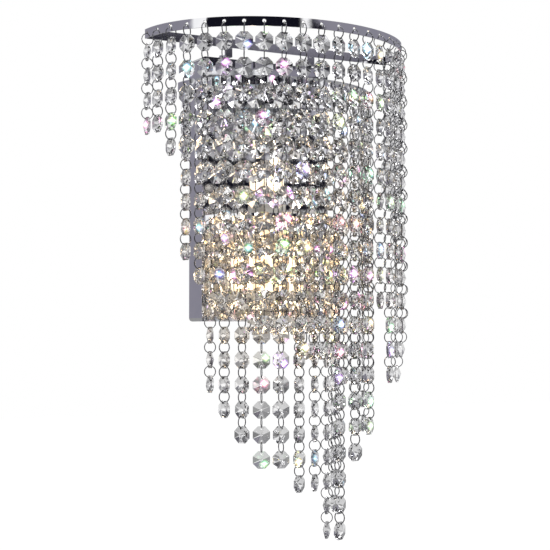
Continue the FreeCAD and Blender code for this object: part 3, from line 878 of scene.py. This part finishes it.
@dataclass
class LampSet:
    """Three small capsule lamps: glass, coiled filament, cap and two pins."""

    radius: float = 7.0 * MM
    length: float = 38.0 * MM
    cap: float = 3.0 * MM
    pin: float = 6.0 * MM
    wall: float = 0.6 * MM
    segments: int = 24
    shoulder_steps: int = 8
    base_share: float = 0.8
    pin_spacing: float = 9.0 * MM
    pin_radius: float = 0.5 * MM
    pin_sides: int = 10
    coil_turns: int = 9
    coil_steps: int = 10
    coil_radius: float = 1.3 * MM
    coil_wire: float = 0.25 * MM
    coil_rise: float = 8.0 * MM
    coil_gap: float = 9.0 * MM
    left_support: float = 2.2 * MM
    right_support: float = 3.2 * MM
    support_gap: float = 1.0 * MM
    power: float = 0.09
    light_radius: float = 2.0 * MM
    light_colour: Colour = (1.0, 0.8, 0.55)

    def feet(self) -> list[Vector]:
        """Where each lamp's cap stands on its holder, worked out from the lamps' own box."""
        low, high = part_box("lamps")
        middle = (low.y + high.y) / 2
        lower = low.z + self.pin
        return [Vector((low.x + self.radius, middle, lower)),
                Vector((high.x - self.radius, middle, lower)),
                Vector(((low.x + high.x) / 2, middle, high.z - self.length))]

    def middles(self) -> list[Vector]:
        """The middle of each lamp's glass."""
        return [foot + Vector((0, 0, (self.length + self.cap) / 2)) for foot in self.feet()]

    def _turned(self, name: str, outline: list[tuple[float, float]], feet: list[Vector],
                materials: list[bpy.types.Material]) -> bpy.types.Object:
        """A closed turned shape, repeated at each foot.

        Args:
            name: the piece's name.
            outline: radius and height points, starting and ending on the axis.
            feet: where each copy stands.
            materials: the piece's materials.

        Returns:
            The piece.
        """
        bm = bmesh.new()
        for foot in feet:
            rows = []
            for radius, height in outline:
                count = self.segments if radius > 0 else 1
                rows.append([bm.verts.new(foot + Vector((radius * math.cos(2 * math.pi * step / count),
                                                         radius * math.sin(2 * math.pi * step / count),
                                                         height))) for step in range(count)])
            for first, second in zip(rows, rows[1:]):
                for step in range(self.segments):
                    corners = [first[step % len(first)], first[(step + 1) % len(first)],
                               second[(step + 1) % len(second)], second[step % len(second)]]
                    distinct = list(dict.fromkeys(corners))
                    if len(distinct) > 2:
                        bm.faces.new(distinct).smooth = True
        bmesh.ops.recalc_face_normals(bm, faces=bm.faces)
        return mesh_object(name, bm, materials)

    def _capsule(self, inset: float) -> list[tuple[float, float]]:
        """The outline of the glass, moved inwards by an inset."""
        radius = self.radius - inset
        base = self.cap + inset
        top = self.length - inset
        shoulder = top - radius
        flat = radius * self.base_share
        outline = [(0.0, base), (flat, base), (radius, base + radius - flat)]
        for step in range(self.shoulder_steps):
            angle = step * math.pi / 2 / self.shoulder_steps
            outline.append((radius * math.cos(angle), shoulder + radius * math.sin(angle)))
        outline.append((0.0, top))
        return outline

    def build(self, steel: bpy.types.Material) -> None:
        """Makes the lamps and puts them in place of the frame's plain ones.

        Args:
            steel: the finish of the pins.
        """
        feet = self.feet()
        glass = LampGlassFinish().build()
        shell = self._turned("lamp_glass_shells", self._capsule(0.0), feet, [glass])
        hollow = self._turned("lamp_hollows", self._capsule(self.wall), feet, [glass])
        bm = bmesh.new()
        bm.from_mesh(hollow.data)
        bmesh.ops.reverse_faces(bm, faces=bm.faces)
        bm.from_mesh(shell.data)
        bm.to_mesh(shell.data)
        bm.free()
        bpy.data.objects.remove(hollow)
        cap_radius = self.radius - self.cap / 3
        profile = [(0.0, 0.0), (cap_radius, 0.0), (cap_radius, self.cap), (0.0, self.cap)]
        caps = self._turned("lamp_caps", profile, feet, [Finish.CERAMIC.value.build()])
        pins = self._pins(feet, steel)
        coils = self._filaments(feet)
        for piece, slot in ((shell, "lamp_glass"), (caps, "ceramic"), (pins, "screw_steel"),
                            (coils, "screw_steel")):
            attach(piece, "frame")
            LOG.info("%s made", piece.name)
        for piece in (shell, caps, pins):
            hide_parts("lamps")

    def _pins(self, feet: list[Vector], steel: bpy.types.Material) -> bpy.types.Object:
        """The two pins under each lamp."""
        bm = bmesh.new()
        for foot in feet:
            for side in (-1, 1):
                place = Matrix.Translation(foot + Vector((side * self.pin_spacing / 2, 0, -self.pin / 2)))
                bmesh.ops.create_cone(bm, cap_ends=True, segments=self.pin_sides, radius1=self.pin_radius,
                                      radius2=self.pin_radius, depth=self.pin, matrix=place)
        return mesh_object("lamp_pins", bm, [steel])

    def _filaments(self, feet: list[Vector]) -> bpy.types.Object:
        """A coiled filament on two supports inside each lamp."""
        curve = bpy.data.curves.new("lamp_filaments", "CURVE")
        curve.dimensions = "3D"
        curve.bevel_depth = self.coil_wire
        curve.bevel_resolution = 1
        low, high = self.cap + self.coil_rise, self.length - self.coil_gap
        steps = self.coil_turns * self.coil_steps
        for foot in feet:
            points = [foot + Vector((-self.left_support, 0, height))
                      for height in (self.cap, low - self.support_gap)]
            for step in range(steps + 1):
                turn = 2 * math.pi * step / self.coil_steps
                points.append(foot + Vector((self.coil_radius * math.cos(turn),
                                             self.coil_radius * math.sin(turn),
                                             low + (high - low) * step / steps)))
            points += [foot + Vector((self.right_support, 0, height)) for height in (high, self.cap)]
            spline = curve.splines.new("POLY")
            spline.points.add(len(points) - 1)
            for target, point in zip(spline.points, points):
                target.co = (*point, 1.0)
        holder = new_object("filament_curve", curve)
        mesh = evaluated_mesh(holder)
        bpy.data.objects.remove(holder)
        mesh.materials.clear()
        mesh.materials.append(FilamentFinish().build())
        return new_object("lamp_filaments", mesh)

    def light(self) -> None:
        """A small warm light in each lamp."""
        for number, middle in enumerate(self.middles()):
            data = bpy.data.lights.new("lamp_light_%d" % (number + 1), "POINT")
            data.energy = self.power
            data.color = self.light_colour
            data.shadow_soft_size = self.light_radius
            new_object(data.name, data).location = middle


# ---------------------------------------------------------------- studio

@dataclass
class Studio:
    """The camera at the photograph's place, the surround that metal and glass show, and the floor."""

    camera_millimetres: Point = (-552.5, -1045.9, -118.7)
    heading: float = math.radians(28.78)
    pitch: float = math.radians(2.34)
    focal_pixels: float = 1361.9
    frame_pixels: float = 550.0
    sensor: float = 36.0
    even: Colour = (0.8, 0.8, 0.8)
    lilac: Colour = (0.26, 0.252, 0.3)
    floor_drop: float = 0.30
    floor_half: float = 6.0
    floor_fade: float = 5.0
    floor_tones: Stops = ((0.0, (0.5, 0.5, 0.51)), (0.43, (0.6, 0.6, 0.61)), (0.48, (0.03, 0.03, 0.035)))
    floor_seen: float = 0.93
    floor_mirrored: float = 0.2
    rear_mask: Stops = ((-180, SHOWN), (-100, SHOWN), (-90, HIDDEN), (90, HIDDEN), (100, SHOWN),
                        (180, SHOWN))
    soft_boxes: tuple[tuple[str, Point, float, float], ...] = (
        ("key", (-0.9, -1.2, 0.9), 0.5, 9.0), ("fill", (0.9, -0.8, 1.1), 0.6, 6.0),
        ("top", (0.1, -0.5, 1.3), 0.5, 5.0))

    def camera(self) -> None:
        """Makes the camera."""
        data = bpy.data.cameras.new("camera")
        data.sensor_width = self.sensor
        data.lens = self.sensor * self.focal_pixels / self.frame_pixels
        data.clip_start = 0.05
        data.clip_end = 50.0
        camera = new_object("camera", data)
        looking = Vector((math.sin(self.heading) * math.cos(self.pitch),
                          math.cos(self.heading) * math.cos(self.pitch), math.sin(self.pitch)))
        camera.rotation_mode = "QUATERNION"
        camera.rotation_quaternion = looking.to_track_quat("-Z", "Y")
        camera.location = Vector(self.camera_millimetres) * MM
        bpy.context.scene.camera = camera

    def surround(self) -> None:
        """White to the eye; to metal and glass a studio of soft boxes, gaps and a dark camera side."""
        world = bpy.data.worlds.new("studio")
        bpy.context.scene.world = world
        world.use_nodes = True
        sheet = NodeSheet(world.node_tree)
        background = next(node for node in world.node_tree.nodes if node.type == "BACKGROUND")
        direction = sheet.add("ShaderNodeTexCoord").outputs["Generated"]
        x, y, z = sheet.add("ShaderNodeSeparateXYZ", {"Vector": direction}).outputs
        front_y = sheet.math("MULTIPLY", y, -1.0)
        bearing = sheet.math("ARCTAN2", x, front_y)
        share = sheet.math("ADD", sheet.math("DIVIDE", bearing, 2 * math.pi), 0.5)
        height = sheet.math("ADD", sheet.math("DIVIDE", sheet.math("ARCSINE", z), math.pi), 0.5)
        slope = sheet.math("ADD", sheet.math("DIVIDE", sheet.math("ARCTAN2", z, front_y), math.pi), 0.5)
        front = self._front_tones(sheet, share, height, slope)
        shown = sheet.mix(self._turn_ramp(sheet, share, self.rear_mask), front,
                          self._rear_tones(sheet, share, height))
        path = sheet.add("ShaderNodeLightPath").outputs
        mirror = sheet.math("MAXIMUM", path["Is Glossy Ray"], path["Is Transmission Ray"])
        even = sheet.mix(mirror, (*self.even, 1.0), shown)
        sheet.feed(background.inputs["Color"], sheet.mix(path["Is Camera Ray"], even, (1, 1, 1, 1)))
        background.inputs["Strength"].default_value = 1.0

    def _turn_ramp(self, sheet: NodeSheet, share: Any, stops: Stops) -> bpy.types.NodeSocket:
        """Tones by bearing, in degrees from the front (-Y) towards +X."""
        return sheet.ramp(share, [(degrees / 360 + 0.5, tone) for degrees, tone in stops])

    def _rise_ramp(self, sheet: NodeSheet, height: Any, stops: Stops) -> bpy.types.NodeSocket:
        """Tones by elevation, in degrees above the horizon."""
        return sheet.ramp(height, [(degrees / 180 + 0.5, tone) for degrees, tone in stops])

    def _front_tones(self, sheet: NodeSheet, share: Any, height: Any, slope: Any) -> bpy.types.NodeSocket:
        """What the bands, the box and the crystals' faces mirror.

        Args:
            sheet: the world's sheet.
            share: the bearing as a share of the full turn, 0.5 towards the front.
            height: the elevation as a share of the half turn, 0.5 at the horizon.
            slope: the same in the plane of Y and Z, which is level along a flat front.

        Returns:
            The colour socket.
        """
        white, lilac = SHOWN, self.lilac
        dark, black, pale = (0.1, 0.1, 0.11), (0.006, 0.006, 0.012), (0.7, 0.7, 0.71)
        # The curved parts of the bands: a soft box far to the left and a strip of light in front.
        around = self._turn_ramp(sheet, share, (
            (-180, lilac), (-84, lilac), (-80, white), (-67, white), (-66, black), (8, black), (9, white),
            (15, white), (16, dark), (28, dark), (29, lilac), (180, lilac)))
        # The flat fronts: black at the height of the bands, lilac at that of the box.
        facing = self._rise_ramp(sheet, slope, (
            (-90, dark), (-20, dark), (-3, lilac), (2.8, lilac), (4.4, black), (13.8, black), (14, lilac),
            (22, lilac), (26, pale), (54, pale), (90, lilac)))
        # The lit stretch of the back bar, and the narrow band of heights that mirrors it.
        gap = self._turn_ramp(sheet, share, (
            (-180, black), (26.6, black), (27, lilac), (32.4, lilac), (32.8, black), (38, black),
            (40, lilac), (180, lilac)))
        level = self._rise_ramp(sheet, slope, (
            (-90, HIDDEN), (12.85, HIDDEN), (12.95, SHOWN), (13.65, SHOWN), (13.8, HIDDEN), (90, HIDDEN)))
        facing = sheet.mix(level, facing, gap)
        sector = self._turn_ramp(sheet, share, (
            (-180, HIDDEN), (15.5, HIDDEN), (16, SHOWN), (38, SHOWN), (42, HIDDEN)))
        below = self._rise_ramp(sheet, height, (
            (-90, (0.3, 0.3, 0.3)), (-12, (0.3, 0.3, 0.3)), (-4, SHOWN), (90, SHOWN)))
        return sheet.vector("MULTIPLY", sheet.mix(sector, around, facing), below)

    def _rear_tones(self, sheet: NodeSheet, share: Any, height: Any) -> bpy.types.NodeSocket:
        """What is seen through the crystals: a white screen with grey gaps, dark below.

        Args:
            sheet: the world's sheet.
            share: the bearing as a share of the full turn, 0.5 towards the front.
            height: the elevation as a share of the half turn, 0.5 at the horizon.

        Returns:
            The colour socket.
        """
        white, lilac, dark = SHOWN, self.lilac, (0.03, 0.03, 0.035)
        pale, grey = (0.8, 0.8, 0.81), (0.36, 0.36, 0.37)
        low = self._turn_ramp(sheet, share, (
            (-180, grey), (-174, grey), (-171, white), (-162, white), (-159, lilac), (-146, lilac),
            (-142, white), (-104, white), (-98, grey), (96, grey), (100, white), (133, white), (135, grey),
            (140, grey), (142, white), (166, white), (169, grey), (180, grey)))
        high = self._turn_ramp(sheet, share, (
            (-180, grey), (-174, grey), (-171, white), (-162, white), (-159, lilac), (134, lilac),
            (138, white), (165, white), (169, grey), (180, grey)))
        level = self._rise_ramp(sheet, height, (
            (-90, HIDDEN), (8, HIDDEN), (9, SHOWN), (17, SHOWN), (19, HIDDEN), (90, HIDDEN)))
        rise = self._rise_ramp(sheet, height, (
            (-90, grey), (-36, pale), (-24, pale), (-21, dark), (-11, dark), (-8, white), (13, white),
            (16, grey), (21, grey), (25, pale), (60, pale), (90, grey)))
        return sheet.vector("MULTIPLY", sheet.mix(level, low, high), rise)

    def lights(self, focus: Vector) -> None:
        """Two soft boxes and a top light, each with its name, place, size and power.

        Args:
            focus: what they point at.
        """
        for name, place, size, power in self.soft_boxes:
            data = bpy.data.lights.new(name, "AREA")
            data.energy = power
            data.size = size
            lamp = new_object(name, data)
            lamp.location = Vector(place)
            lamp.rotation_mode = "QUATERNION"
            lamp.rotation_quaternion = (focus - lamp.location).to_track_quat("-Z", "Y")

    def floor(self, lowest: float) -> None:
        """Makes a floor below the sconce: white to the eye, pale in glass where near, dim in metal.

        Args:
            lowest: the height of the sconce's lowest point.
        """
        material, sheet, shader = new_material("pale_floor", {
            "Base Color": (0.1, 0.1, 0.1, 1.0), "Roughness": 0.9, "Emission Color": (1.0, 1.0, 1.0, 1.0)})
        place = sheet.place()
        away = sheet.vector("DISTANCE", place, (0.0, 0.0, lowest - self.floor_drop), "Value")
        near = sheet.ramp(sheet.math("DIVIDE", away, self.floor_fade), self.floor_tones)
        path = sheet.add("ShaderNodeLightPath").outputs
        mirrored = sheet.math("MULTIPLY", path["Is Glossy Ray"], self.floor_mirrored)
        through = sheet.math("MULTIPLY", path["Is Transmission Ray"], near)
        seen = sheet.math("ADD", sheet.math("MULTIPLY", path["Is Camera Ray"], self.floor_seen),
                          sheet.math("MAXIMUM", mirrored, through))
        sheet.feed(shader.inputs["Emission Strength"], seen)
        bm = bmesh.new()
        bmesh.ops.create_grid(bm, x_segments=1, y_segments=1, size=self.floor_half,
                              matrix=Matrix.Translation((0, 0, lowest - self.floor_drop)))
        floor = mesh_object("floor", bm, [material])
        floor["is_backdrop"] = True


# ---------------------------------------------------------------- the whole sconce

def main() -> None:
    """Builds the sconce's pieces around the frame, then the studio."""
    logging.basicConfig(level=logging.INFO, format="%(message)s")
    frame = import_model()
    cad_low, cad_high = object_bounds()
    lamps = LampSet()
    effects = Effects(lamps.middles())
    Metalwork(effects).dress(frame["nodes"])
    wire = Finish.WIRE.value.build(effects)
    strands = StrandSet(OctagonCrystal(), WireLink(), CutGlassFinish().build(effects), wire)
    strands.build(frame["joints"], frame["record"]["behaviour"]["bodies"])
    lamps.build(wire)
    lamps.light()
    studio = Studio()
    studio.camera()
    studio.surround()
    studio.lights((cad_low + cad_high) / 2)
    studio.floor(cad_low.z)
    bpy.context.scene.view_settings.view_transform = "Standard"


if __name__ == "__main__":
    main()
